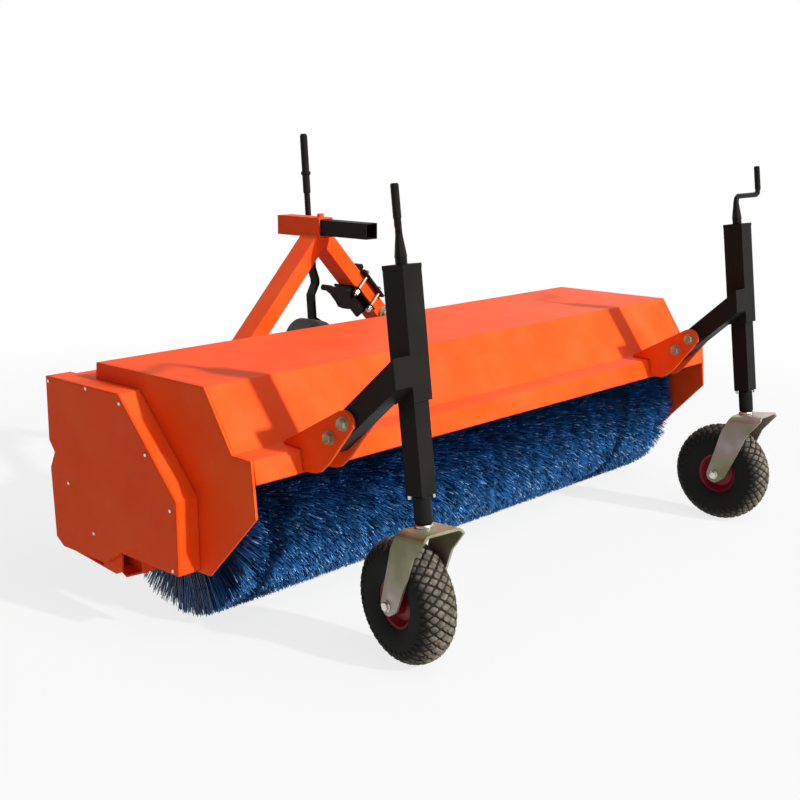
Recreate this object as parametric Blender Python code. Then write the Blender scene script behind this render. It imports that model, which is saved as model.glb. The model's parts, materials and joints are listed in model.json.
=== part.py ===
"""Tractor-mounted sweeper: a roller brush under a folded hood, two jacked castor wheels ahead of it,
and an A-frame headstock that swings on a king pin behind it.

Lengths are metres. X runs along the brush, -Y is ahead of the machine, +Y is the tractor's side, +Z is up.
The origin is on the floor under the parking stand. Places below are stated from the middle of the hood
(the hood frame) instead, because every assembly is laid out round it, and the empty called sweeper
carries the offset. The pieces of a castor jack are stated in the frame of its leaning post.
"""
import math
import bpy
import bmesh
from mathutils import Matrix, Vector

GAP = 0.0003
STAND_Y = 0.374

# Hood: outline as (y, z) from the foot of the rear flange over the top to the foot of the front lip
HALF_WIDTH = 0.825
PLATE = 0.006
SHEET = 0.003
INNER = HALF_WIDTH - PLATE - GAP
HOOD = [(0.252, 0.420), (0.252, 0.528), (-0.102, 0.528), (-0.180, 0.408), (-0.2345, 0.4065), (-0.242, 0.361)]
END_PLATE = [(0.252, 0.528), (-0.102, 0.528), (-0.180, 0.408), (-0.2345, 0.4065), (-0.245, 0.2965),
             (-0.103, 0.149), (0.205, 0.149), (0.362, 0.252), (0.362, 0.492), (0.256, 0.492)]
BEAM_FRONT = 0.2523
BEAM_REAR = 0.348
BEAM_TOP = 0.490

# Brush and drive line
BRUSH = (0.074, 0.237)
BRUSH_R = 0.235
BRUSH_ENDS = (-0.765, 0.810)
BRUSH_SECTIONS = 5
RINGS = 6
STRANDS = 16
CORE_R = 0.110
CORE_BORE = 0.0603
JOURNAL_R = 0.0225
CROSS = (0.303, 0.437)
CROSS_R = 0.015
CHAIN_PITCH = 0.0127
CASE_COVER_X = -0.879
CASE = [(0.101, 0.492), (0.362, 0.492), (0.364, 0.352), (0.345, 0.328), (0.364, 0.291), (0.357, 0.137),
        (0.331, 0.120), (0.175, 0.120), (0.120, 0.157), (-0.075, 0.155), (-0.075, 0.306)]

# Headstock
KING_Y = 0.455
FRAME = (0.425, 0.485)
LEG_ANGLE = math.radians(44)
APEX_Z = 0.726
LEG_WIDTH = 0.042
LINK_X = 0.325
RECEIVER_Z = 0.747
RECEIVER = (0.420, 0.580)
LEVER = (0.060, 0.5495)

# Castor jacks
POST_X = 0.621
POST = (-0.456, 0.500)
POST_LEAN = 0.1227
FORK_TOP = -0.2138
AXLE = (0.076, -0.3685)
CASTOR_TURN = {"left": -0.20, "right": 0.03}
WHEEL_R = 0.125
TREAD_STEPS = 30
ARM = 0.046
ARM_X = -0.047
ARM_BOLTS = [(-0.313, 0.443), (-0.350, 0.476)]

# Base colour, roughness and metalness
FINISHES = {
    "orange_paint": ((0.84, 0.105, 0.012), 0.42, 0.0),
    "black_paint": ((0.021, 0.016, 0.013), 0.40, 0.0),
    "zinc": ((0.50, 0.50, 0.40), 0.36, 1.0),
    "blue_bristle": ((0.012, 0.070, 0.290), 0.55, 0.0),
    "rubber": ((0.014, 0.014, 0.012), 0.80, 0.0),
    "red_rim": ((0.145, 0.004, 0.011), 0.42, 0.0),
    "steel": ((0.42, 0.41, 0.39), 0.38, 1.0),
    "cast_iron": ((0.045, 0.045, 0.048), 0.62, 0.6),
    "black_plastic": ((0.012, 0.012, 0.012), 0.50, 0.0),
}
ORANGE, BLACK, ZINC, STEEL = "orange_paint", "black_paint", "zinc", "steel"


def finish(name):
    mat = bpy.data.materials.get(name)
    if mat is None:
        colour, roughness, metallic = FINISHES[name]
        mat = bpy.data.materials.new(name)
        mat.use_nodes = True
        shader = mat.node_tree.nodes["Principled BSDF"]
        shader.inputs["Base Color"].default_value = (*colour, 1.0)
        shader.inputs["Roughness"].default_value = roughness
        shader.inputs["Metallic"].default_value = metallic
        mat.diffuse_color = (*colour, 1.0)
    return mat


def empty(name, parent=None, place=(0, 0, 0), lean=0.0, turn=0.0, keeps_hood_frame=False):
    """A pivot. Pieces under one that keeps the hood frame are still stated in the hood frame."""
    obj = bpy.data.objects.new(name, None)
    bpy.context.scene.collection.objects.link(obj)
    obj.parent = parent
    obj.location = place
    obj.rotation_euler = (lean, 0, turn)
    obj["keeps_hood_frame"] = keeps_hood_frame
    return obj


def add_object(name, bm, mat, parent, smooth=False):
    bm.normal_update()
    bmesh.ops.recalc_face_normals(bm, faces=bm.faces)
    if bm.calc_volume(signed=True) < 0:
        bmesh.ops.reverse_faces(bm, faces=bm.faces)
    mesh = bpy.data.meshes.new(name)
    bm.to_mesh(mesh)
    bm.free()
    if smooth:
        mesh.shade_smooth()
        mesh.set_sharp_from_angle(angle=math.radians(35))
    mesh.materials.append(finish(mat))
    obj = bpy.data.objects.new(name, mesh)
    bpy.context.scene.collection.objects.link(obj)
    obj.parent = parent
    if parent["keeps_hood_frame"]:
        obj.location = -parent.location
    return obj


def spread(axis, u, v, along):
    """A point from its place across an axis and along it. Across X it is (y, z), Y (x, z), Z (x, y)."""
    return Vector({"X": (along, u, v), "Y": (u, along, v), "Z": (u, v, along)}[axis])


def box(u0, u1, v0, v1):
    return [(u0, v0), (u1, v0), (u1, v1), (u0, v1)]


def square(u, v, size):
    return box(u - size / 2, u + size / 2, v - size / 2, v + size / 2)


def arc(u, v, radius, start, end, steps):
    """Points along an arc from one angle to another, in degrees, both ends included."""
    angles = [math.radians(start + (end - start) * i / steps) for i in range(steps + 1)]
    return [(u + radius * math.cos(a), v + radius * math.sin(a)) for a in angles]


def circle(u, v, radius, steps=24):
    return arc(u, v, radius, 0, 360 - 360 / steps, steps - 1)


def add_prism(bm, outline, axis, start, end, holes=()):
    edges = []
    for loop in (outline, *holes):
        verts = [bm.verts.new(spread(axis, u, v, start)) for u, v in loop]
        edges += [bm.edges.new((verts[i - 1], verts[i])) for i in range(len(verts))]
    fill = bmesh.ops.triangle_fill(bm, use_beauty=True, use_dissolve=False, edges=edges)
    faces = [item for item in fill["geom"] if isinstance(item, bmesh.types.BMFace)]
    drawn = bmesh.ops.extrude_face_region(bm, geom=faces)["geom"]
    top = [item for item in drawn if isinstance(item, bmesh.types.BMVert)]
    bmesh.ops.translate(bm, vec=spread(axis, 0, 0, end - start), verts=top)


def prism(name, outline, axis, start, end, mat, parent, holes=()):
    bm = bmesh.new()
    add_prism(bm, outline, axis, start, end, holes)
    return add_object(name, bm, mat, parent)


def add_turned(bm, profile, axis, place, steps):
    """Spins a profile of (radius, distance along the axis) into one closed body."""
    verts = [bm.verts.new(spread(axis, radius, 0, along)) for radius, along in profile]
    edges = [bm.edges.new((verts[i], verts[i + 1])) for i in range(len(verts) - 1)]
    if profile[0][0] > 0:
        edges.append(bm.edges.new((verts[-1], verts[0])))
    bmesh.ops.spin(bm, geom=verts + edges, cent=(0, 0, 0), axis=spread(axis, 0, 0, 1), angle=math.tau,
                   steps=steps, use_merge=True)
    new = [v for v in bm.verts if v.is_valid]
    bmesh.ops.remove_doubles(bm, verts=new, dist=1e-6)
    bmesh.ops.translate(bm, vec=place, verts=bm.verts)


def turned(name, profile, axis, place, mat, parent, steps=32):
    bm = bmesh.new()
    add_turned(bm, profile, axis, place, steps)
    return add_object(name, bm, mat, parent, smooth=True)


def rod(radius, start, end, chamfer=0.0015):
    """The profile of a round bar with chamfered ends."""
    low, high = sorted((start, end))
    return [(0, low), (radius - chamfer, low), (radius, low + chamfer), (radius, high - chamfer),
            (radius - chamfer, high), (0, high)]


def bent_rod(name, points, mat, parent, sides=2):
    """A round bar through points of (x, y, z, radius), as a bevelled curve with filled ends."""
    curve = bpy.data.curves.new(name, "CURVE")
    curve.dimensions = "3D"
    curve.bevel_depth = 1.0
    curve.bevel_resolution = sides
    curve.use_fill_caps = True
    spline = curve.splines.new("POLY")
    spline.points.add(len(points) - 1)
    for point, (x, y, z, radius) in zip(spline.points, points):
        point.co = (x, y, z, 1)
        point.radius = radius
    curve.materials.append(finish(mat))
    obj = bpy.data.objects.new(name, curve)
    bpy.context.scene.collection.objects.link(obj)
    obj.parent = parent
    if parent["keeps_hood_frame"]:
        obj.location = -parent.location
    return obj


def combine(target, tool, operation="UNION"):
    modifier = target.modifiers.new(operation.lower(), "BOOLEAN")
    modifier.operation = operation
    modifier.solver = "EXACT"
    modifier.object = tool
    tool.hide_render = True
    tool.display_type = "WIRE"


def offset_line(points, distance, closed=False):
    """The points moved to their left by a distance, with mitred corners."""
    moved = []
    last = len(points) - 1
    for i, point in enumerate(points):
        here = Vector(point)
        into = (here - Vector(points[i - 1])).normalized() if i or closed else None
        out = (Vector(points[(i + 1) % len(points)]) - here).normalized() if i < last or closed else None
        into, out = into or out, out or into
        left = Vector((-into.y, into.x))
        middle = (left + Vector((-out.y, out.x))).normalized()
        moved.append(tuple(here + middle * distance / middle.dot(left)))
    return moved


def folded(points, thickness):
    """The closed outline of a folded sheet that lies on the left of its points."""
    return points + offset_line(points, thickness)[::-1]


def square_tube(name, u, v, size, wall, axis, start, end, mat, parent):
    return prism(name, square(u, v, size), axis, start, end, mat, parent, [square(u, v, size - 2 * wall)])


def build_hood(root):
    """The folded hood between two end plates, and the channel behind it that hides the cross shaft."""
    prism("hood_shell", folded(HOOD, SHEET), "X", -INNER, INNER, ORANGE, root)
    journal = circle(*BRUSH, JOURNAL_R + 0.002, 20)
    cross = circle(*CROSS, CROSS_R + GAP, 20)
    prism("end_plate_left", END_PLATE, "X", -HALF_WIDTH, -HALF_WIDTH + PLATE, ORANGE, root, [journal, cross])
    prism("end_plate_right", END_PLATE, "X", HALF_WIDTH - PLATE, HALF_WIDTH, ORANGE, root, [journal])
    channel = folded([(BEAM_REAR, 0.400), (BEAM_REAR, BEAM_TOP), (BEAM_FRONT, BEAM_TOP), (BEAM_FRONT, 0.400)],
                     0.004)
    beam = prism("cross_beam", channel, "X", -INNER, INNER, ORANGE, root)
    slot = box(-0.032, 0.032, 0.390, CROSS[1])[:2] + arc(0, CROSS[1], 0.032, 0, 180, 10)
    notch = prism("neck_notch", slot, "Y", BEAM_REAR - 0.010, BEAM_REAR + 0.010, ORANGE, root)
    combine(beam, notch, "DIFFERENCE")


def sprocket(teeth, y, z, middle, bore):
    """A toothed ring as a bmesh, 8 mm wide, to be joined to its shaft."""
    pitch_r = CHAIN_PITCH / (2 * math.sin(math.pi / teeth))
    outline = []
    for tooth in range(teeth):
        for place, height in ((-0.36, -0.0035), (-0.12, 0.0035), (0.12, 0.0035), (0.36, -0.0035)):
            angle = math.tau * (tooth + place) / teeth
            outline.append((y + (pitch_r + height) * math.cos(angle), z + (pitch_r + height) * math.sin(angle)))
    bm = bmesh.new()
    add_prism(bm, outline, "X", middle - 0.004, middle + 0.004)
    return bm


def build_drive_case(root):
    """The chain case on the left end plate: a folded rim, a flat cover, the chain and a pocketed foot."""
    face = -HALF_WIDTH - GAP
    rim_x = CASE_COVER_X + SHEET + GAP
    prism("drive_case", CASE, "X", rim_x, face, ORANGE, root, [offset_line(CASE, -SHEET, closed=True)])
    prism("drive_case_cover", CASE, "X", CASE_COVER_X, rim_x - GAP, ORANGE, root)
    foot = [(0.058, 0.1561), (0.058, 0.125), (0.117, 0.101), (0.140, 0.111), (0.153, 0.099), (0.331, 0.1155)]
    under_case = [(0.331, 0.1196), (0.1748, 0.1196), (0.1198, 0.1564)]
    strap = prism("case_foot", folded(foot, 0.004), "X", -0.868, -0.834, ORANGE, root)
    combine(strap, prism("foot_back_guide", foot + under_case, "X", -0.838, -0.834, ORANGE, root))
    front = [(0.130, 0.1070), (0.140, 0.111), (0.153, 0.099), (0.197, 0.1031), (0.197, 0.1196), (0.1748, 0.1196),
             (0.130, 0.1496)]
    combine(strap, prism("foot_front_guide", front, "X", -0.868, -0.864, ORANGE, root))

    # The chain wraps both sprockets just outside the tips of their teeth
    small, large = [CHAIN_PITCH / (2 * math.sin(math.pi / teeth)) + 0.0040 for teeth in (14, 25)]
    heading = math.degrees(math.atan2(CROSS[1] - BRUSH[1], CROSS[0] - BRUSH[0]))
    tilt = math.degrees(math.acos((large - small) / math.dist(CROSS, BRUSH)))
    loops = [arc(*CROSS, small + grow, heading - tilt, heading + tilt, 10)
             + arc(*BRUSH, large + grow, heading + tilt, heading + 360 - tilt, 18) for grow in (0.007, 0)]
    prism("drive_chain", loops[0], "X", -0.865, -0.857, STEEL, root, [loops[1]])

    bearing = [(JOURNAL_R + GAP, 0), (0.046, 0), (0.046, 0.007), (0.036, 0.010), (0.036, 0.020),
               (JOURNAL_R + GAP, 0.020)]
    for side, name in ((-1, "left"), (1, "right")):
        profile = [(radius, side * (HALF_WIDTH + GAP + along)) for radius, along in bearing]
        turned("brush_bearing_" + name, profile, "X", (0, *BRUSH), "cast_iron", root, 24)


def build_brush(root):
    """The roller: a stepped shaft with its sprocket, and the bristle sections threaded on it."""
    axle = empty("brush_axle", root, (0, *BRUSH), keeps_hood_frame=True)
    left, right = BRUSH_ENDS
    shaft = [(0, -0.868), (JOURNAL_R, -0.868), (JOURNAL_R, left), (0.060, left), (0.060, right),
             (JOURNAL_R, right), (JOURNAL_R, 0.862), (0, 0.862)]
    body = turned("brush_shaft", shaft, "X", (0, *BRUSH), STEEL, axle, 24)
    wheel = add_object("brush_sprocket_guide", sprocket(25, *BRUSH, -0.861, 0), STEEL, axle)
    combine(body, wheel)
    length = (right - left) / BRUSH_SECTIONS
    for i in range(BRUSH_SECTIONS):
        start = left + i * length
        build_bristles(f"bristles_{i + 1}", start + GAP, start + length - GAP, axle)


def build_bristles(name, start, end, parent):
    """A backing ring whose outer cells are drawn out, every second one, into tapering tufts."""
    cells = 2 * STRANDS
    pitch = (end - start) / RINGS
    bm = bmesh.new()

    def ring(radius, x):
        return [bm.verts.new((x, y, z)) for y, z in circle(*BRUSH, radius, cells)]

    def bridge(one, two):
        return [bm.faces.new((one[i - 1], one[i], two[i], two[i - 1])) for i in range(cells)]

    outer = [ring(CORE_R, start + pitch * i) for i in range(RINGS + 1)]
    inner = [ring(CORE_BORE, start), ring(CORE_BORE, end)]
    tufts = []
    for row in range(RINGS):
        tufts += bridge(outer[row], outer[row + 1])[row % 2::2]
    bridge(inner[0], outer[0])
    bridge(outer[-1], inner[1])
    bridge(inner[1], inner[0])
    hub = Vector((0, *BRUSH))
    for face in tufts:
        base = face.calc_center_median() - hub
        out = Vector((0, base.y, base.z)).normalized()
        around = Vector((1, 0, 0)).cross(out)
        tip = bmesh.ops.extrude_discrete_faces(bm, faces=[face])["faces"][0]
        for vert in tip.verts:
            corner = vert.co - hub - base
            vert.co = hub + Vector((base.x + corner.x * 0.55, 0, 0)) + out * BRUSH_R + around * corner.dot(around)
    add_object(name, bm, "blue_bristle", parent)


def build_drive_line(root):
    """The bevel gearbox in the channel, the cross shaft to the chain case and the splined input stub."""
    shape = [(0.287, 0.378), (0.3437, 0.378), (0.3437, 0.4857), (0.262, 0.4857), (0.262, 0.403)]
    housing = prism("gearbox_housing", shape, "X", -0.060, 0.060, "cast_iron", root)
    neck = turned("neck_guide", [(0, 0.320), (0.030, 0.320), (0.030, 0.400), (0, 0.400)], "Y", (0, 0, CROSS[1]),
                  "cast_iron", root, 24)
    combine(housing, neck)
    boss = turned("boss_guide", [(0, -0.078), (0.026, -0.078), (0.030, -0.050), (0, -0.050)], "X", (0, *CROSS),
                  "cast_iron", root, 24)
    combine(housing, boss)
    for name, axis, place, radius, span in (("cross_bore", "X", (0, *CROSS), CROSS_R, (-0.090, -0.030)),
                                            ("input_bore", "Y", (0, 0, CROSS[1]), 0.0175, (0.345, 0.410))):
        bore = turned(name, rod(radius + GAP, *span, 0.0001), axis, place, "cast_iron", root, 24)
        combine(housing, bore, "DIFFERENCE")

    spin = empty("cross_axle", root, (0, *CROSS), keeps_hood_frame=True)
    shaft = turned("cross_shaft", rod(CROSS_R, -0.867, -0.031), "X", (0, *CROSS), STEEL, spin, 24)
    combine(shaft, add_object("cross_sprocket_guide", sprocket(14, *CROSS, -0.861, 0), STEEL, spin))

    spin = empty("pto_axle", root, (0, 0.400, CROSS[1]), keeps_hood_frame=True)
    spline = []
    for tooth in range(6):
        for place, radius in ((-0.26, 0.0175), (0.26, 0.0175), (0.32, 0.0145), (0.68, 0.0145)):
            angle = math.tau * (tooth + place) / 6
            spline.append((radius * math.cos(angle), CROSS[1] + radius * math.sin(angle)))
    prism("pto_shaft", spline, "Y", 0.346, 0.475, STEEL, spin)

    guard = [(0.0303, 0.375), (0.0343, 0.375), (0.0343, 0.400), (0.060, 0.450), (0.060, 0.524), (0.056, 0.524),
             (0.056, 0.4518), (0.0303, 0.4018)]
    turned("pto_guard", guard, "Y", (0, 0, CROSS[1]), "black_plastic", root, 28)


def build_pivot(root):
    """Two cheeks on the channel carry the pivot plates, the king pin and the parking stand."""
    cheek = [(0.3485, 0.490), (0.3485, 0.205), (0.3585, 0.190), (0.385, 0.190), (0.385, 0.400), (0.365, 0.490)]
    for side, name in ((-1, "left"), (1, "right")):
        x0, x1 = sorted((side * 0.0913, side * 0.0993))
        prism("pivot_cheek_" + name, cheek, "X", x0, x1, ORANGE, root)
    plate = [(-0.091, 0.3485), (0.091, 0.3485), (0.091, 0.395)] + arc(0, KING_Y, 0.040, 0, 180, 14)
    plate += [(-0.091, 0.395)]
    holes = [circle(0, KING_Y, 0.0153, 20), square(0, STAND_Y, 0.0410)]
    prism("pivot_plate_lower", plate, "Z", 0.2047, 0.2147, ORANGE, root, holes)
    prism("pivot_plate_upper", plate, "Z", 0.3253, 0.3353, ORANGE, root, holes)
    pin = [(0, 0.182), (0.013, 0.182), (0.015, 0.185), (0.015, 0.3356), (0.024, 0.3356), (0.024, 0.347),
           (0.021, 0.350), (0, 0.350)]
    turned("king_pin", pin, "Z", (0, KING_Y, 0), ZINC, root, 24)

    square_tube("stand_sleeve", 0, STAND_Y, 0.050, 0.004, "Z", 0.2150, 0.3250, ORANGE, root)
    stand = empty("stand_slide", root, (0, STAND_Y, 0), keeps_hood_frame=True)
    leg = square_tube("stand_leg", 0, STAND_Y, 0.040, 0.003, "Z", 0.003, 0.337, BLACK, stand)
    foot = prism("stand_foot_guide", square(0, STAND_Y, 0.100), "Z", 0, 0.006, BLACK, stand)
    combine(leg, foot)


def on_leg(along, out):
    """A point on the right leg as (x, z), from its distance down the leg and away from its middle."""
    sine, cosine = math.sin(LEG_ANGLE), math.cos(LEG_ANGLE)
    return (along * sine + out * cosine, APEX_Z - along * cosine + out * sine)


def build_leg(name, side, swing):
    """A box-section leg between the receiver and a link plate: a level tube, sheared to the leg's slope."""
    half = LEG_WIDTH / 2 / math.sin(LEG_ANGLE)
    wall = 0.005
    bm = bmesh.new()
    outline = box(*FRAME, -half, half)
    hollow = box(FRAME[0] + wall, FRAME[1] - wall, -half + 1.4 * wall, half - 1.4 * wall)
    add_prism(bm, outline, "X", 0.0253, LINK_X - GAP, [hollow])
    for vert in bm.verts:
        vert.co.z += APEX_Z - vert.co.x / math.tan(LEG_ANGLE)
        vert.co.x *= side
    return add_object(name, bm, ORANGE, swing)


def build_headstock(root):
    """The A-frame that swings on the king pin, with its crossbar, link plates, receiver and lever."""
    swing = empty("headstock_swing", root, (0, KING_Y, CROSS[1]), keeps_hood_frame=True)
    middle = sum(FRAME) / 2
    for side, name in ((-1, "left"), (1, "right")):
        build_leg("leg_" + name, side, swing)
        outline = [(FRAME[0], 0.200), (FRAME[1], 0.200), (FRAME[1], 0.440), (FRAME[1] - 0.018, 0.460),
                   (FRAME[0] + 0.018, 0.460), (FRAME[0], 0.440)]
        x0, x1 = sorted((side * LINK_X, side * (LINK_X + 0.010)))
        plate = prism("link_plate_" + name, outline, "X", x0, x1, ORANGE, swing)
        pin = turned(f"hitch_pin_{name}_guide", rod(0.011, side * (LINK_X + 0.005), side * 0.420, 0.002), "X",
                     (0, middle, 0.360), ZINC, swing, 20)
        combine(plate, pin)
    notch = APEX_Z - LEG_WIDTH / 2 / math.sin(LEG_ANGLE)
    foot = notch - 0.025 / math.tan(LEG_ANGLE)
    gusset = [(-0.025, 0.7217), (-0.025, foot), (0, notch), (0.025, foot), (0.025, 0.7217)]
    prism("apex_gusset", gusset, "Y", *FRAME, ORANGE, swing)

    reach = LINK_X - GAP
    bar = square_tube("headstock_crossbar", middle, 0.270, 0.060, 0.005, "X", -reach, reach, ORANGE, swing)
    tube = prism("pivot_tube_guide", circle(0, KING_Y, 0.030), "Z", 0.2150, 0.3250, ORANGE, swing)
    combine(bar, tube)
    bore = prism("pivot_bore", circle(0, KING_Y, 0.0153), "Z", 0.200, 0.340, ORANGE, swing)
    combine(bar, bore, "DIFFERENCE")
    boss = [(0, -0.012), (0.011, -0.012), (0.013, -0.010), (0.013, -0.005), (0.022, -0.005), (0.022, 0), (0, 0)]
    x, z = on_leg(0.322, 0)
    turned("leg_boss", boss, "Y", (x, FRAME[0] - GAP, z), ZINC, swing, 20)

    receiver = square_tube("receiver_tube", 0, RECEIVER_Z, 0.050, 0.004, "Y", *RECEIVER, ORANGE, swing)
    nub = turned("receiver_nub_guide", rod(0.009, 0.770, 0.782), "Z", (0, 0.440, 0), ORANGE, swing, 16)
    combine(receiver, nub)
    pin = [(0, 0.023), (0.014, 0.023), (0.014, 0.0517), (0.008, 0.0517), (0.008, 0.0683), (0.014, 0.0683),
           (0.014, 0.075), (0, 0.075)]
    combine(receiver, turned("lever_pin_guide", pin, "X", (0, LEVER[1], RECEIVER_Z), ORANGE, swing, 20))
    slide = empty("insert_slide", swing, (0, 0.500 - KING_Y, RECEIVER_Z - CROSS[1]))
    square_tube("insert_tube", 0, 0, 0.040, 0.003, "Y", 0.254 - 0.500, 0.565 - 0.500, BLACK, slide)
    build_lever(swing)
    build_clamp(swing)


def build_lever(swing):
    """The tall hand lever on the receiver's side, with a jogged flat bar and a kicked-out foot below."""
    pivot = empty("lever_pivot", swing, (LEVER[0], LEVER[1] - KING_Y, RECEIVER_Z - CROSS[1]), math.radians(-4))
    jog = [(0.039, -0.283), (-0.005, -0.255), (-0.005, -0.195), (0.014, -0.165), (0.014, -0.150), (0.004, -0.120),
           (0.004, 0.020)]
    blade = prism("lock_lever", folded(jog, 0.008), "Y", -0.014, 0.014, BLACK, pivot)
    eye = turned("lever_eye_guide", [(0, -0.008), (0.019, -0.008), (0.019, 0.008), (0, 0.008)], "X", (0, 0, 0),
                 BLACK, pivot, 20)
    combine(blade, eye)
    grip = [(0, 0.010), (0.008, 0.010), (0.008, 0.080), (0.010, 0.084), (0.010, 0.128), (0.013, 0.131),
            (0.013, 0.137), (0.010, 0.140), (0.010, 0.232), (0.007, 0.238), (0, 0.238)]
    combine(blade, turned("lever_grip_guide", grip, "Z", (0, 0, 0), BLACK, pivot, 16))
    hole = turned("lever_eye_bore", rod(0.0083, -0.030, 0.030), "X", (0, 0, 0), BLACK, pivot, 20)
    combine(blade, hole, "DIFFERENCE")


def build_clamp(swing):
    """The black clamp on the right leg: a lobed plate, a bar across the leg and two zinc U-bolts."""
    half = LEG_WIDTH / 2
    near, far = -half - GAP, half + GAP
    lobes = [(0.188, near), (0.133, -0.0634), (0.1075, -0.083), (0.112, -0.093), (0.135, -0.089),
             (0.1656, -0.0904), (0.1805, -0.0937), (0.1974, -0.0864), (0.221, -0.069), (0.253, -0.069),
             (0.268, near)]
    plate = prism("clamp_plate", [on_leg(*p) for p in lobes], "Y", 0.4295, 0.4375, BLACK, swing)
    flange = [(0.178, near - 0.006), (0.272, near - 0.006), (0.272, near), (0.178, near)]
    combine(plate, prism("clamp_flange_guide", [on_leg(*p) for p in flange], "Y", 0.4100, 0.5000, BLACK, swing))
    x, z = on_leg(0.1115, -0.0860)
    combine(plate, turned("clamp_nub_guide", rod(0.0080, 0.418, 0.452), "Y", (x, 0, z), BLACK, swing, 16))
    top = [(0.166, far), (0.275, far), (0.275, far + 0.007), (0.166, far + 0.007)]
    bar = prism("clamp_bar", [on_leg(*p) for p in top], "Y", 0.4100, 0.5000, BLACK, swing)
    nub = [(0.168, far + 0.004), (0.166, far + 0.020), (0.172, far + 0.029), (0.182, far + 0.026),
           (0.184, far + 0.004)]
    combine(bar, prism("clamp_nub_bar_guide", [on_leg(*p) for p in nub], "Y", 0.440, 0.470, BLACK, swing))
    nut = near - 0.0062
    for along, name in ((0.1905, "upper"), (0.2585, "lower")):
        path = []
        for y, out, radius in ((0.4165, nut - 0.016, 0.004), (0.4165, nut - 0.0097, 0.004),
                               (0.4165, nut - 0.0095, 0.0065), (0.4165, nut - 0.0002, 0.0065),
                               (0.4165, nut, 0.004), (0.4165, far + 0.012, 0.004), (0.4235, far + 0.019, 0.004),
                               (0.4865, far + 0.019, 0.004), (0.4935, far + 0.012, 0.004),
                               (0.4935, nut, 0.004), (0.4935, nut - 0.0002, 0.0065),
                               (0.4935, nut - 0.0095, 0.0065), (0.4935, nut - 0.0097, 0.004),
                               (0.4935, nut - 0.016, 0.004)):
            x, z = on_leg(along, out)
            path.append((x, y, z, radius))
        bent_rod("u_bolt_" + name, path, ZINC, swing)
        for piece in (plate, bar):
            for y in (0.4165, 0.4935):
                cut_hole(piece, along, y, swing)


def cut_hole(piece, along, y, swing):
    """A U-bolt hole through a clamp piece, square to the leg."""
    bm = bmesh.new()
    add_prism(bm, circle(along, y, 0.0045, 16), "Z", -0.060, 0.060)
    for vert in bm.verts:
        x, z = on_leg(vert.co.x, vert.co.z)
        vert.co = (x, vert.co.y, z)
    name = f"{piece.name}_hole_{round(along * 1000)}_{round(y * 1000)}"
    combine(piece, add_object(name, bm, BLACK, swing), "DIFFERENCE")


def slanted_tube(size, wall, low, high, lean):
    """A square tube rising between two points (y, z), open below and closed along the post's line above."""
    along = (Vector(high) - Vector(low)).normalized()
    left = Vector((-along.y, along.x))
    across_post = Vector((math.cos(lean), -math.sin(lean)))
    bm = bmesh.new()
    ends = []
    for end in (0, 1):
        loops = []
        for half in (size / 2, size / 2 - wall):
            loop = []
            for across, rise in ((-half, -half), (half, -half), (half, half), (-half, half)):
                point = Vector(low) + left * rise
                if end:
                    # Walk up the tube to the line through high that leans with the post
                    point += along * (Vector(high) - point).dot(across_post) / along.dot(across_post)
                    point -= along * (size / 2 - half)
                loop.append(bm.verts.new((across, point.x, point.y)))
            loops.append(loop)
        ends.append(loops)
    (low_out, low_in), (high_out, high_in) = ends
    for i in range(4):
        for a, b in ((low_out, high_out), (high_in, low_in), (low_in, low_out)):
            bm.faces.new((a[i - 1], a[i], b[i], b[i - 1]))
    bm.faces.new(high_out)
    bm.faces.new(high_in[::-1])
    return bm


def build_castor(root, side, name):
    """A castor jack: bracket, arm and sleeve, crank screw, inner tube, swivelling fork and wheel."""
    x = side * POST_X
    post = empty("post_" + name, root, (x, *POST), -POST_LEAN)
    build_bracket(root, x + ARM_X, name)
    build_arm(root, post, x + ARM_X, name)
    build_crank(post, side, name)
    build_jack(post, name)
    build_castor_wheel(post, name)


def build_bracket(root, x, name):
    """Two ears on the hood's lip, joined by a base, with holes for the arm's two bolts."""
    ear = [(-0.2435, 0.364), (-0.2368, 0.4078), (-0.186, 0.4087), (-0.186, 0.4137)]
    ear += arc(*ARM_BOLTS[1], 0.025, 61, 190, 7)
    ear += [(-0.335, 0.423), (-0.310, 0.392), (-0.286, 0.370), (-0.276, 0.366)]
    holes = [circle(*bolt, 0.0083, 16) for bolt in ARM_BOLTS]
    half = ARM / 2 + GAP
    pieces = []
    for edge in (-half - 0.008, half):
        pieces.append(prism(f"caster_bracket_{name}" if edge < 0 else f"bracket_ear_{name}_guide", ear, "X",
                            x + edge, x + edge + 0.008, ORANGE, root, holes))
    base = [(-0.2435, 0.364), (-0.2368, 0.4078), (-0.2430, 0.4078), (-0.2497, 0.364)]
    combine(pieces[0], prism(f"bracket_base_{name}_guide", base, "X", x - half - 0.004, x + half + 0.004, ORANGE,
                             root))
    combine(pieces[0], pieces[1])


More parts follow.
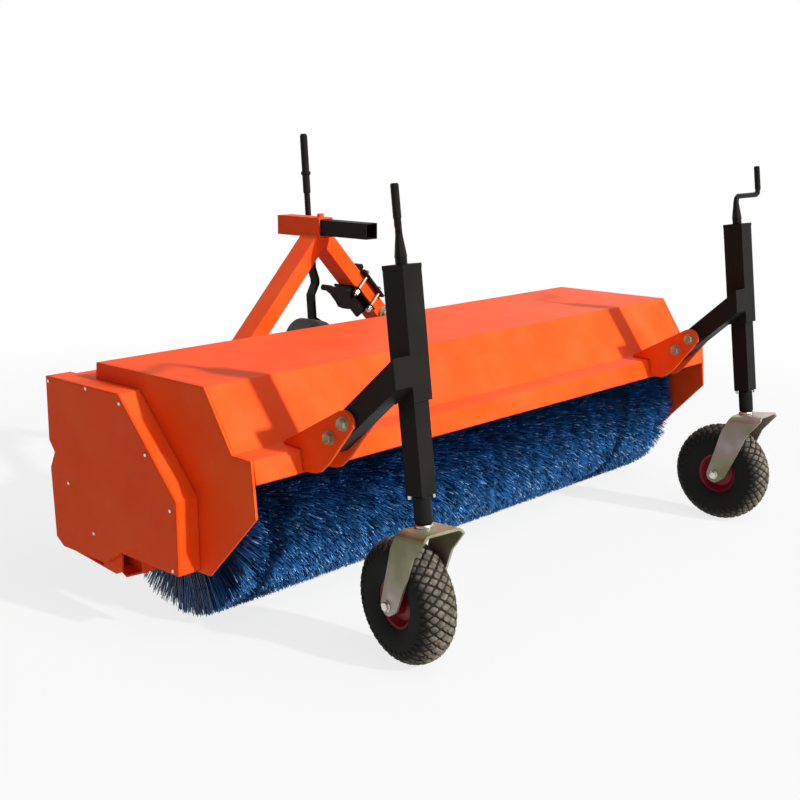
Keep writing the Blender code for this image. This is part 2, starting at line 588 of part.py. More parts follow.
def build_arm(root, post, x, name):
    """The raked arm with the upright sleeve welded to its side and its two through bolts."""
    first, second = Vector(ARM_BOLTS[0]), Vector(ARM_BOLTS[1])
    along = (second - first).normalized()
    low = first - along * 0.028
    across_post = Vector((math.cos(POST_LEAN), -math.sin(POST_LEAN)))
    front = Vector(POST) - 0.0252 * across_post
    high = low + along * (front - low).dot(across_post) / along.dot(across_post)
    bm = slanted_tube(ARM, 0.004, low, high, POST_LEAN)
    bmesh.ops.translate(bm, vec=(x, 0, 0), verts=bm.verts)
    arm = add_object("caster_arm_" + name, bm, BLACK, root)
    sleeve = square_tube(f"sleeve_{name}_guide", 0, 0, 0.050, 0.004, "Z", 0.023, 0.264, BLACK, post)
    combine(arm, sleeve)
    cap = prism(f"sleeve_cap_{name}_guide", square(0, 0, 0.051), "Z", 0.263, 0.271, BLACK, post,
                [circle(0, 0, 0.0085, 20)])
    combine(arm, cap)
    outer = ARM / 2 + 0.008 + 2 * GAP
    bolt = [(0, -outer - 0.007), (0.0095, -outer - 0.007), (0.0095, -outer), (0.008, -outer), (0.008, outer),
            (0.0095, outer), (0.0095, outer + 0.007), (0, outer + 0.007)]
    for i, place in enumerate(ARM_BOLTS):
        combine(arm, turned(f"arm_bolt_{name}_{i}_guide", bolt, "X", (x, *place), ZINC, root, 16))


def build_crank(post, side, name):
    """The jack's crank: a rod inside the sleeve, a collar on its cap, a tapered neck, an arm and a grip."""
    aim = Vector((1, 0, 0)) if side > 0 else Vector((-0.73, -0.68, 0)).normalized()
    path = [(0, 0.050, 0.008), (0, 0.2713, 0.008), (0, 0.2715, 0.0112), (0, 0.2832, 0.0112), (0, 0.2840, 0.0120),
            (0, 0.324, 0.0068), (0.004, 0.334, 0.0066), (0.013, 0.339, 0.0066), (0.106, 0.339, 0.0066),
            (0.115, 0.343, 0.0066), (0.118, 0.351, 0.0064), (0.1181, 0.353, 0.0074), (0.1181, 0.409, 0.0074),
            (0.1181, 0.411, 0.0056)]
    points = [(aim.x * out, aim.y * out, z, radius) for out, z, radius in path]
    bent_rod("crank_" + name, points, BLACK, post, 3)


def build_jack(post, name):
    """The inner tube, with its nut plate above and the plug that the fork swivels in below."""
    jack = square_tube("jack_tube_" + name, 0, 0, 0.040, 0.003, "Z", -0.152, 0.140, BLACK, post)
    for piece, low, high, bore in (("nut", 0.126, 0.139, 0.0083), ("plug", -0.1519, -0.112, 0.0123)):
        plate = prism(f"jack_{piece}_{name}_guide", square(0, 0, 0.036), "Z", low, high, BLACK, post,
                      [circle(0, 0, bore, 20)])
        combine(jack, plate)


def build_castor_wheel(post, name):
    """The stem, the fork hung from it with its round-ended cheeks, and the wheel on its axle bolt."""
    castor = empty("castor_" + name, post, turn=CASTOR_TURN[name])
    low = FORK_TOP + GAP
    stem = [(0, low), (0.012, low), (0.012, low + 0.005), (0.0172, low + 0.009), (0.0172, -0.156),
            (0.0155, -0.1525), (0.012, -0.1525), (0.012, -0.090), (0, -0.090)]
    turned("swivel_stem_" + name, stem, "Z", (0, 0, 0), BLACK, castor, 24)
    y, z = AXLE
    strap = [(0.048, -0.400)] + arc(0.032, FORK_TOP - 0.016, 0.016, 0, 90, 4)
    strap += arc(-0.032, FORK_TOP - 0.016, 0.016, 90, 180, 4) + [(-0.048, -0.400)]
    fork = prism("caster_fork_" + name, folded(strap, 0.005), "Y", -0.080, 0.120, ZINC, castor)
    cheek = [(-0.060, FORK_TOP + 0.010), (0.022, FORK_TOP + 0.010), (0.022, FORK_TOP - 0.002), (0.048, -0.252)]
    cheek += arc(y, z, 0.0205, 15, -120, 8) + [(0.047, -0.376), (0.001, -0.300), (-0.020, -0.263),
                                               (-0.060, -0.226)]
    combine(fork, prism(f"cheek_{name}_guide", cheek, "X", -0.060, 0.060, ZINC, castor), "INTERSECT")
    hole = prism(f"axle_hole_{name}_guide", circle(y, z, 0.0083, 16), "X", -0.060, 0.060, ZINC, castor)
    combine(fork, hole, "DIFFERENCE")
    hub = empty("wheel_hub_" + name, castor, (0, y, z))
    bolt = [(0, -0.0545), (0.0085, -0.0545), (0.0105, -0.0525), (0.0105, -0.0483), (0.008, -0.0483),
            (0.008, 0.0483), (0.0115, 0.0483), (0.0115, 0.0560), (0.007, 0.0560), (0.007, 0.061), (0, 0.061)]
    turned("wheel_axle_" + name, bolt, "X", (0, 0, 0), ZINC, hub, 16)
    rim = [(0.0085, -0.0425), (0.020, -0.0425), (0.022, -0.019), (0.036, -0.015), (0.046, -0.027),
           (0.056, -0.031), (0.056, 0.031), (0.046, 0.027), (0.036, 0.019), (0.022, 0.019), (0.020, 0.0425),
           (0.0085, 0.0425)]
    turned("rim_" + name, rim, "X", (0, 0, 0), "red_rim", hub, TREAD_STEPS)
    build_tyre(hub, name)


def build_tyre(hub, name):
    """A turned tyre whose crown faces are raised, every second one, into tread blocks."""
    half = [(0.0564, 0.029), (0.060, 0.034), (0.078, 0.0394), (0.098, 0.0398), (0.111, 0.034), (0.118, 0.016)]
    profile = [(radius, -x) for radius, x in half] + [(0.120, 0)] + [(radius, x) for radius, x in half[::-1]]
    bm = bmesh.new()
    add_turned(bm, profile, "X", (0, 0, 0), TREAD_STEPS)
    blocks = []
    for face in bm.faces:
        middle = face.calc_center_median()
        if math.hypot(middle.y, middle.z) > 0.112:
            column = math.floor(math.atan2(middle.z, middle.y) / math.tau * TREAD_STEPS)
            row = sum(middle.x > edge for edge in (-0.016, 0, 0.016))
            if (column + row) % 2 == 0:
                blocks.append(face)
    for face in blocks:
        middle = face.calc_center_median()
        out = Vector((0, middle.y, middle.z)).normalized()
        top = bmesh.ops.extrude_discrete_faces(bm, faces=[face])["faces"][0]
        for vert in top.verts:
            vert.co = middle + (vert.co - middle) * 0.82 + out * 0.004
    for vert in bm.verts:
        reach = math.hypot(vert.co.y, vert.co.z)
        if reach > WHEEL_R - 0.0002:
            vert.co.y *= (WHEEL_R - 0.0002) / reach
            vert.co.z *= (WHEEL_R - 0.0002) / reach
    add_object("tyre_" + name, bm, "rubber", hub)


def main():
    for obj in list(bpy.data.objects):
        bpy.data.objects.remove(obj, do_unlink=True)
    root = empty("sweeper", None, (0, -STAND_Y, 0))
    build_hood(root)
    build_drive_case(root)
    build_brush(root)
    build_drive_line(root)
    build_pivot(root)
    build_headstock(root)
    for side, name in ((-1, "left"), (1, "right")):
        build_castor(root, side, name)


main()
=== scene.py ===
"""Looks of the tractor sweeper: powder-coated sheet and tube, a dense roller brush, castor tyres with a
block tread, zinc-plated forks and the small fastenings. Lengths are metres."""

import json
import math

import bmesh
import bpy
import numpy as np
from mathutils import Matrix, Vector


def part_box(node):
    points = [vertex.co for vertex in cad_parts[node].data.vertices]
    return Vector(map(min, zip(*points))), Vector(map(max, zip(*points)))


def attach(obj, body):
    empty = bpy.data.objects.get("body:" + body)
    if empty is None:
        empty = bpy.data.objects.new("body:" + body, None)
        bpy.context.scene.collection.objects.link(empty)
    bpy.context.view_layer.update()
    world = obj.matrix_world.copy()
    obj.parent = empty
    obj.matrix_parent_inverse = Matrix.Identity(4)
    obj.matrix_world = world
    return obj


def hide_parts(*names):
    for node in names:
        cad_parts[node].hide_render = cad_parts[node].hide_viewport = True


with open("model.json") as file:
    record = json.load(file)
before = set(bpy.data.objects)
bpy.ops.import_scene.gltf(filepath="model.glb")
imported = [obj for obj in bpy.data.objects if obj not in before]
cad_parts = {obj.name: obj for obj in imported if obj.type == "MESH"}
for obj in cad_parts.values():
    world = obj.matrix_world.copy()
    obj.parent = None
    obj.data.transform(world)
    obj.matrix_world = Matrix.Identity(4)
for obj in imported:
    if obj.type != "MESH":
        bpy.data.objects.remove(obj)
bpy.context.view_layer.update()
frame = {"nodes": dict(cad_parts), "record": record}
bpy.ops.object.select_all(action="DESELECT")

# The source states places from the middle of the hood, this far behind the origin
STAND_Y = 0.374

# A gap or an overlap too thin to see
HAIR = 0.0002

# The brush: its axis, the moulded core and the fibres
BRUSH = Vector((0, 0.074 - STAND_Y, 0.237))
CORE_RADIUS, CORE_BORE, ROOT_RADIUS = 0.112, 0.0606, 0.1115
SECTIONS, FIBRES = 5, 24000
FIBRE_LENGTH, FIBRE_WEAR = (0.1175, 0.1235), 0.006
FIBRE_RADIUS = (0.00085, 0.00120)
CLUMP_LEAN, LOOSE_LEAN = 0.045, 0.085
END_MARGIN, STRAIGHT_END = 0.002, 0.012
# The fibres' tones; the root factor darkens every fibre towards its root as painted shade among the packed
# roots
TONE, TONE_SPREAD, CLUMP_TONE, ROOT_SHADE_FACTOR = 0.52, 0.20, 0.09, 0.35
# The share of fibres whose tips are painted nearly white, painted highlights on the brush
GLINT_TIP_SHARE = 0.035

# The castor jacks: the leaning posts, what turns under them, and the raked arms with their bolts
POST_X, POST_MIDDLE_Y, POST_Z, POST_LEAN = 0.621, -0.456, 0.500, 0.1227
SLEEVE = 0.050
SIDES = {"left": -1, "right": 1}
CASTOR_TURN = {"left": -0.20, "right": 0.03}
FORK_TOP = -0.2138
AXLE = Vector((0, 0.076, -0.3685))
ARM, ARM_X = 0.046, -0.047
EAR = 0.0085
ARM_BOLTS = [(-0.313, 0.443), (-0.350, 0.476)]
PLUG_SCREW, PLUG_FACE = 0.0158, -0.1521
FORK_FACE = 0.0483

# The weld of arm and sleeve, from its one end to the other as lengths short of the sleeve's face, and the
# weld of bracket and lip, as Y and Z
ARM_SEAM = (0.057, 0.003)
LIP_SEAM = [(-0.2430, 0.366), (-0.2374, 0.404)]

# The tyre's round crown is half an ellipse about a circle of this radius. The blocks on it are swung to
# these angles, and have their full length at the tread's radius
CROWN_CENTRE, CROWN_RISE, CROWN_HALF_WIDTH = 0.0895, 0.0318, 0.0378
TREAD_RADIUS = 0.121
TREAD_ROWS, TREAD_COLUMNS = (-74, -56, -37, -18.5, 0, 18.5, 37, 56, 74), 38
BLOCK_LONG, BLOCK_WIDE, BLOCK_HIGH = 0.013356, 0.0160, 0.0062
DUST_FROM, DUST_OVER = 0.100, 0.023

# The headstock's right leg and what is clamped to it
LEG_ANGLE, LEG_WIDTH, APEX_Z = math.radians(44), 0.042, 0.726
CLAMP_RODS, ROD_Y = (0.1905, 0.2585), (0.4165, 0.4935)
CLAMP_PLATE = 0.0063
BOSS_ALONG, BOSS_FACE_Y = 0.322, 0.4199

# The chain case's cover and the outer face of the right brush bearing
COVER_X = -0.879
BEARING_X, BOLT_CIRCLE = 0.8323, 0.0405
CASE_SCREWS = [(0.351, 0.482), (0.212, 0.486), (0.096, 0.473), (0.016, 0.383), (-0.057, 0.285),
               (-0.059, 0.163), (0.210, 0.177), (0.296, 0.269)]

# Fastenings: a washer's thickness, shares of a head's radius or height, and how far a weld's ripples stand
# apart as a share of its width
WASHER = 0.0016
CHAMFER, RECESS_RIM, RECESS_DEPTH = 0.14, 0.34, 0.30
RIPPLE_STEP = 0.42

# What the lights look at
MACHINE = (0, -0.4, 0.35)


def hood(x, y, z):
    """A place stated from the middle of the hood."""
    return Vector((x, y - STAND_Y, z))


def on_leg(along, out):
    """A point on the right leg, from its distance down the leg and away from its middle."""
    sine, cosine = math.sin(LEG_ANGLE), math.cos(LEG_ANGLE)
    return Vector((along * sine + out * cosine, 0, APEX_Z - along * cosine + out * sine))


def place_camera():
    """The camera that took the photo, as fitted to the hood, the posts and the wheels."""
    data = bpy.data.cameras.new("photo_camera")
    data.lens = 55.56
    data.sensor_width = 36
    camera = bpy.data.objects.new("photo_camera", data)
    bpy.context.scene.collection.objects.link(camera)
    right = Vector((0.6799, -0.7333, 0.0026)).normalized()
    back = Vector((-0.7155, -0.6626, 0.2215)).normalized()
    up = back.cross(right).normalized()
    right = up.cross(back)
    turn = Matrix((right, up, back)).transposed()
    camera.matrix_world = Matrix.Translation(hood(-2.246, -1.925, 1.022)) @ turn.to_4x4()
    bpy.context.scene.camera = camera


# Materials

def linear(hex_colour):
    """An sRGB hex colour as a linear colour."""
    values = [int(hex_colour[i:i + 2], 16) / 255 for i in (1, 3, 5)]
    return tuple(v / 12.92 if v <= 0.04045 else ((v + 0.055) / 1.055) ** 2.4 for v in values) + (1.0,)


def node(tree, kind, settings=None, stops=(), **links):
    """Adds a node. Settings go to its properties or sockets, stops to its colour ramp, and links join an
    output to a socket, which is named or, as i0 and i1, counted."""
    new = tree.nodes.new(kind)
    for key, value in (settings or {}).items():
        if isinstance(key, int) or key in new.inputs:
            new.inputs[key].default_value = value
        else:
            setattr(new, key, value)
    for index, (position, colour) in enumerate(stops):
        elements = new.color_ramp.elements
        stop = elements[index] if index < len(elements) else elements.new(position)
        stop.position = position
        stop.color = linear(colour)
    for key, output in links.items():
        counted = key[0] == "i" and key[1:].isdigit()
        tree.links.new(output, new.inputs[int(key[1:]) if counted else key.replace("_", " ")])
    return new


def new_material(name, roughness, metallic=0.0, specular=0.5):
    """A material with its shader's plain values set, and the coordinates that its patterns read."""
    mat = bpy.data.materials.new(name)
    mat.use_nodes = True
    tree = mat.node_tree
    shader = tree.nodes["Principled BSDF"]
    shader.inputs["Roughness"].default_value = roughness
    shader.inputs["Metallic"].default_value = metallic
    if not metallic:
        shader.inputs["Specular IOR Level"].default_value = specular
    coords = node(tree, "ShaderNodeTexCoord").outputs["Object"]
    return mat, tree, shader, coords


def finish_surface(tree, shader, height, strength, depth, soft_edge):
    """A bump of a given depth over folds and edges that catch the light as if rounded."""
    edge = node(tree, "ShaderNodeBevel", {"Radius": soft_edge, "samples": 4})
    bump = node(tree, "ShaderNodeBump", {"Strength": strength, "Distance": depth}, Height=height,
                Normal=edge.outputs[0])
    tree.links.new(bump.outputs[0], shader.inputs["Normal"])


def powder_coat(name, stops, dusty, roughness, specular, soft_edge):
    """Powder coat on steel, sprayed and baked: an even satin colour, a fine orange peel and a thin film of
    dust that dulls it in patches and brings it nearer to the dusty colour."""
    mat, tree, shader, coords = new_material(name, roughness, specular=specular)
    cloud = node(tree, "ShaderNodeTexNoise", {"Scale": 4, "Detail": 3.0}, Vector=coords)
    colour = node(tree, "ShaderNodeValToRGB", {}, stops, Fac=cloud.outputs["Fac"])
    patch = node(tree, "ShaderNodeTexNoise", {"Scale": 11, "Detail": 4.0}, Vector=coords)
    film = node(tree, "ShaderNodeMapRange", {"From Min": 0.45, "From Max": 0.80, "To Max": 0.22},
                Value=patch.outputs["Fac"])
    mix = node(tree, "ShaderNodeMix", {"data_type": "RGBA", 7: linear(dusty)}, i0=film.outputs[0],
               i6=colour.outputs[0])
    tree.links.new(mix.outputs[2], shader.inputs["Base Color"])
    dull = node(tree, "ShaderNodeMapRange", {"From Min": 0.3, "From Max": 0.7, "To Min": roughness - 0.06,
                                             "To Max": roughness + 0.08}, Value=patch.outputs["Fac"])
    tree.links.new(dull.outputs[0], shader.inputs["Roughness"])
    # The real peel is about 1 mm across; it is drawn at 4 mm so that it still shows from the camera
    peel = node(tree, "ShaderNodeTexNoise", {"Scale": 250, "Detail": 1.0}, Vector=coords)
    finish_surface(tree, shader, peel.outputs["Fac"], strength=0.15, depth=0.0005, soft_edge=soft_edge)
    return mat


def zinc_plate(name):
    """Yellow-passivated zinc on pressed steel: soft metal sheen with patches of straw, green and rose."""
    mat, tree, shader, coords = new_material(name, roughness=0.46, metallic=0.50)
    cloud = node(tree, "ShaderNodeTexNoise", {"Scale": 9, "Detail": 2.0}, Vector=coords)
    colour = node(tree, "ShaderNodeValToRGB", {}, [(0.34, "#7C7C5A"), (0.46, "#908E70"), (0.56, "#A0928A"),
                                                   (0.70, "#C0BCB0")], Fac=cloud.outputs["Fac"])
    tree.links.new(colour.outputs[0], shader.inputs["Base Color"])
    grain = node(tree, "ShaderNodeTexNoise", {"Scale": 330, "Detail": 2.0}, Vector=coords)
    finish_surface(tree, shader, grain.outputs["Fac"], strength=0.12, depth=0.0004, soft_edge=0.0015)
    return mat


def machined_steel(name, dark, glint_tip, roughness):
    """Turned or drawn steel with fine tool marks, drawn at 6 mm where real ones are under 1 mm."""
    mat, tree, shader, coords = new_material(name, roughness, metallic=1.0)
    marks = node(tree, "ShaderNodeTexNoise", {"Scale": 170, "Detail": 4.0}, Vector=coords)
    colour = node(tree, "ShaderNodeValToRGB", {}, [(0.3, dark), (0.7, glint_tip)], Fac=marks.outputs["Fac"])
    tree.links.new(colour.outputs[0], shader.inputs["Base Color"])
    finish_surface(tree, shader, marks.outputs["Fac"], strength=0.10, depth=0.0003, soft_edge=0.0008)
    return mat


def casting(name):
    """Grey iron casting under a thin dark paint, pitted by the sand mould."""
    mat, tree, shader, coords = new_material(name, roughness=0.62, specular=0.3)
    sand = node(tree, "ShaderNodeTexNoise", {"Scale": 400, "Detail": 3.0}, Vector=coords)
    colour = node(tree, "ShaderNodeValToRGB", {}, [(0.3, "#222224"), (0.7, "#3C3C3E")],
                  Fac=sand.outputs["Fac"])
    tree.links.new(colour.outputs[0], shader.inputs["Base Color"])
    finish_surface(tree, shader, sand.outputs["Fac"], strength=0.35, depth=0.0008, soft_edge=0.0020)
    return mat


def moulded_plastic(name):
    """Moulded black polyethylene with a fine leather grain."""
    mat, tree, shader, coords = new_material(name, roughness=0.50, specular=0.4)
    grain = node(tree, "ShaderNodeTexVoronoi", {"Scale": 550}, Vector=coords)
    colour = node(tree, "ShaderNodeValToRGB", {}, [(0.1, "#0D0D0D"), (0.8, "#191817")],
                  Fac=grain.outputs["Distance"])
    tree.links.new(colour.outputs[0], shader.inputs["Base Color"])
    finish_surface(tree, shader, grain.outputs["Distance"], strength=0.20, depth=0.0004, soft_edge=0.0010)
    return mat


def bristle_fibre(name):
    """Drawn polypropylene fibre: blue with a waxy sheen and each fibre its own tone, darkened towards the
    roots as painted shade, with a few tips painted nearly white as painted highlights."""
    mat, tree, shader, coords = new_material(name, roughness=0.36)
    tone = node(tree, "ShaderNodeAttribute", {"attribute_name": "tone"})
    # The last stop, near white, is reached only by the painted highlights on a few fibre tips
    colour = node(tree, "ShaderNodeValToRGB", {}, [(0.0, "#0E1722"), (0.30, "#173F6C"), (0.60, "#2264A6"),
                                                   (0.88, "#4C92CC"), (1.0, "#C2DAEE")],
                  Fac=tone.outputs["Fac"])
    cloud = node(tree, "ShaderNodeTexNoise", {"Scale": 16, "Detail": 2.0}, Vector=coords)
    shade = node(tree, "ShaderNodeMapRange", {"From Min": 0.35, "From Max": 0.65, "To Min": 0.70,
                                              "To Max": 1.15}, Value=cloud.outputs["Fac"])
    scaled = node(tree, "ShaderNodeVectorMath", {"operation": "SCALE"}, i0=colour.outputs[0],
                  Scale=shade.outputs[0])
    tree.links.new(scaled.outputs[0], shader.inputs["Base Color"])
    return mat


def tread_rubber(name):
    """Moulded tyre rubber: near-black walls, with grey-brown road dust on what stands out furthest."""
    mat, tree, shader, coords = new_material(name, roughness=0.80, specular=0.25)
    dust = node(tree, "ShaderNodeAttribute", {"attribute_name": "dust"}).outputs["Fac"]
    cloud = node(tree, "ShaderNodeTexNoise", {"Scale": 70, "Detail": 3.0}, Vector=coords)
    amount = node(tree, "ShaderNodeMath", {"operation": "MULTIPLY"}, i0=dust, i1=cloud.outputs["Fac"])
    colour = node(tree, "ShaderNodeValToRGB", {}, [(0.0, "#0F0F0D"), (0.25, "#24221D"), (0.60, "#7A7261")],
                  Fac=amount.outputs[0])
    tree.links.new(colour.outputs[0], shader.inputs["Base Color"])
    grain = node(tree, "ShaderNodeTexNoise", {"Scale": 500, "Detail": 2.0}, Vector=coords)
    finish_surface(tree, shader, grain.outputs["Fac"], strength=0.25, depth=0.0005, soft_edge=0.0010)
    return mat


def make_materials():
    """Every finish, by name."""
    orange = [(0.30, "#F1480A"), (0.50, "#F44E0C"), (0.72, "#F6540F")]
    black = [(0.30, "#0F0D0C"), (0.50, "#14120F"), (0.72, "#191613")]
    red = [(0.30, "#6E0A19"), (0.50, "#7E0D20"), (0.72, "#8A1228")]
    return {
        "orange_paint": powder_coat("orange_powder_coat", orange, "#F08050", roughness=0.58, specular=0.13,
                                    soft_edge=0.0060),
        "black_paint": powder_coat("black_powder_coat", black, "#2A2622", roughness=0.50, specular=0.09,
                                   soft_edge=0.0015),
        "red_rim": powder_coat("dark_red_enamel", red, "#7C3A3C", roughness=0.42, specular=0.30,
                               soft_edge=0.0015),
        "zinc": zinc_plate("zinc_plate_yellow"),
        "steel": machined_steel("turned_steel", "#8A8884", "#B6B4AE", roughness=0.38),
        "bright_zinc": machined_steel("bright_zinc_screw", "#C2C0B4", "#E6E4DA", roughness=0.28),
        "cast_iron": casting("painted_grey_iron"),
        "black_plastic": moulded_plastic("moulded_polyethylene"),
        "blue_bristle": bristle_fibre("drawn_polypropylene_fibre"),
        "rubber": tread_rubber("moulded_tyre_rubber"),
    }


# Tools for new pieces

def active():
    return bpy.context.view_layer.objects.active


def linked(name, mesh):
    """A new object that shows a mesh."""
    obj = bpy.data.objects.new(name, mesh)
    bpy.context.scene.collection.objects.link(obj)
    return obj


def pick(*objects):
    """Selects these objects alone and makes the last of them active."""
    bpy.ops.object.select_all(action="DESELECT")
    for obj in objects:
        obj.select_set(True)
    bpy.context.view_layer.objects.active = objects[-1]


def settle(obj, name, material, body, smooth_angle=None):
    """Puts a finished piece's place into its mesh, names it, and hangs it on its body."""
    pick(obj)
    bpy.ops.object.transform_apply(location=True, rotation=True, scale=True)
    obj.name = name
    obj.data.name = name
    obj.data.materials.clear()
    obj.data.materials.append(material)
    if smooth_angle:
        bpy.ops.object.shade_smooth_by_angle(angle=math.radians(smooth_angle))
    obj.select_set(False)
    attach(obj, body)
    return obj


def copies(source, matrices, name):
    """One mesh object holding a copy of the source mesh at each place."""
    mesh = source.data
    count = len(mesh.vertices)
    points = np.empty(count * 3)
    mesh.vertices.foreach_get("co", points)
    points = np.c_[points.reshape(-1, 3), np.ones(count)]
    faces = [tuple(polygon.vertices) for polygon in mesh.polygons]
    matrices = np.asarray(matrices)
    placed = np.einsum("nij,vj->nvi", matrices[:, :3, :], points).reshape(-1, 3)
    all_faces = [tuple(v + i * count for v in face) for i in range(len(matrices)) for face in faces]
    new = bpy.data.meshes.new(name)
    new.from_pydata(placed.tolist(), [], all_faces)
    new.update()
    return linked(name, new)


def remove(obj):
    bpy.data.objects.remove(obj, do_unlink=True)


def select_faces(obj, wanted):
    """In edit mode, selects the faces that pass a test."""
    bpy.ops.mesh.select_all(action="DESELECT")
    bm = bmesh.from_edit_mesh(obj.data)
    for face in bm.faces:
        face.select_set(bool(wanted(face)))
    bmesh.update_edit_mesh(obj.data)


def joined(*parts):
    """Joins objects into the last of them."""
    pick(*parts)
    bpy.ops.object.join()
    return parts[-1]


def rows(matrices):
    """Matrices as plain lists."""
    return [[list(row) for row in matrix] for matrix in matrices]


def add_attribute(obj, name, values):
    """Gives each point of a mesh a value that a material can read."""
    layer = obj.data.attributes.new(name, "FLOAT", "POINT")
    layer.data.foreach_set("value", np.asarray(values, dtype=np.float32))


def post_matrix(side):
    """The frame of a castor's leaning post."""
    place = Matrix.Translation(hood(SIDES[side] * POST_X, POST_MIDDLE_Y, POST_Z))
    return place @ Matrix.Rotation(-POST_LEAN, 4, "X")


def castor_matrix(side):
    """The frame of a fork, turned on its post."""
    return post_matrix(side) @ Matrix.Rotation(CASTOR_TURN[side], 4, "Z")


def wheel_matrix(side):
    """The frame of a wheel, with its axle along X."""
    return castor_matrix(side) @ Matrix.Translation(AXLE)


# The brush

def fibre_template():
    """One fibre: a three-sided, slightly tapered stalk one unit long, with a slanted worn tip."""
    bpy.ops.mesh.primitive_cone_add(vertices=3, radius1=1.0, radius2=0.72, depth=1.0, location=(0, 0, 0.5))
    obj = active()
    bpy.ops.object.transform_apply(location=True, rotation=False, scale=False)
    bpy.ops.object.mode_set(mode="EDIT")
    bpy.ops.mesh.select_all(action="DESELECT")
    bm = bmesh.from_edit_mesh(obj.data)
    for vert in bm.verts:
        vert.select_set(vert.co.z > 0.9 and vert.co.x > 0)
    bmesh.update_edit_mesh(obj.data)
    worn = 0.006
    bpy.ops.transform.translate(value=(0, 0, -worn))
    bpy.ops.object.mode_set(mode="OBJECT")
    return obj


def brush_core(start, end):
    """The moulded backing of one section: a ring threaded on the shaft."""
    bpy.ops.mesh.primitive_cylinder_add(vertices=48, radius=CORE_RADIUS, depth=end - start,
                                        location=BRUSH + Vector(((start + end) / 2, 0, 0)),
                                        rotation=(0, math.pi / 2, 0))
    obj = active()
    bpy.ops.object.mode_set(mode="EDIT")
    select_faces(obj, lambda face: len(face.verts) > 4)
    bpy.ops.mesh.inset(thickness=CORE_RADIUS - CORE_BORE)
    bpy.ops.mesh.bridge_edge_loops()
    bpy.ops.object.mode_set(mode="OBJECT")
    bpy.ops.object.select_all(action="DESELECT")
    return obj


def fibre_matrices(x, angle, heading, length, radius):
    """Places for fibres that stand on the core, each turned to its heading and scaled to its size."""
    side = np.cross(heading, np.roll(heading, 1, axis=1))
    side /= np.linalg.norm(side, axis=1)[:, None]
    matrices = np.zeros((len(x), 4, 4))
    matrices[:, :3, 0] = side * radius[:, None]
    matrices[:, :3, 1] = np.cross(heading, side) * radius[:, None]
    matrices[:, :3, 2] = heading * length[:, None]
    root = np.c_[x, ROOT_RADIUS * np.cos(angle), ROOT_RADIUS * np.sin(angle)]
    matrices[:, :3, 3] = root + np.asarray(BRUSH)
    matrices[:, 3, 3] = 1
    return matrices


def make_bristles(material):
    """Sections of loose fibres, leaning in clumps, in place of the plain tufts."""
    fibre = fibre_template()
    base = len(fibre.data.vertices)
    tip = np.tile([1.0 if v.co.z > 0.5 else 0.0 for v in fibre.data.vertices], FIBRES)
    rng = np.random.default_rng(7)
    for section in range(1, SECTIONS + 1):
        low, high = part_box(f"bristles_{section}")
        start, end = low[0] + END_MARGIN, high[0] - END_MARGIN
        x = rng.uniform(start, end, FIBRES)
        angle = rng.uniform(0, math.tau, FIBRES)
        # Neighbouring fibres lean together, as if combed into clumps about 35 mm across
        clump = (np.sin(x * 173 + angle * 5.0) + np.sin(x * 97 - angle * 11.0)
                 + np.sin(x * 61 + angle * 17.0))
        clump_side = np.sin(x * 131 - angle * 7.0 + 1.3) + np.sin(x * 83 + angle * 13.0 + 0.4)
        lean_round = CLUMP_LEAN * clump + rng.normal(0, LOOSE_LEAN, FIBRES)
        lean_along = CLUMP_LEAN * clump_side + rng.normal(0, LOOSE_LEAN, FIBRES)
        length = rng.uniform(*FIBRE_LENGTH, FIBRES) - FIBRE_WEAR * rng.random(FIBRES) ** 3
        # At a section's ends the fibres stand straight, so that none reaches into the next section
        straight = np.clip(np.minimum(x - start, end - x) / STRAIGHT_END, 0, 1)
        heading = np.c_[lean_along * straight, np.cos(angle) - np.sin(angle) * lean_round,
                        np.sin(angle) + np.cos(angle) * lean_round]
        heading /= np.linalg.norm(heading, axis=1)[:, None]
        radius = rng.uniform(*FIBRE_RADIUS, FIBRES)
        tufts = copies(fibre, fibre_matrices(x, angle, heading, length, radius), "fibres")
        core = brush_core(low[0] + HAIR, high[0] - HAIR)
        # Painted shade darkens each fibre towards its root, and a few tips are painted nearly white as
        # painted highlights
        tone = np.clip(rng.normal(TONE, TONE_SPREAD, FIBRES) + CLUMP_TONE * clump, 0, 0.90)
        tone = np.repeat(tone, base) * (ROOT_SHADE_FACTOR + (1 - ROOT_SHADE_FACTOR) * tip)
        glint_tip = np.repeat(rng.random(FIBRES) > 1 - GLINT_TIP_SHARE, base)
        add_attribute(tufts, "tone", np.where(glint_tip & (tip > 0.5), 1.0, tone))
        add_attribute(core, "tone", np.zeros(len(core.data.vertices)))
        piece = settle(joined(core, tufts), f"brush_section_{section}", material, "brush")
        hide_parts(f"bristles_{section}")
    remove(fibre)


# The castor wheels

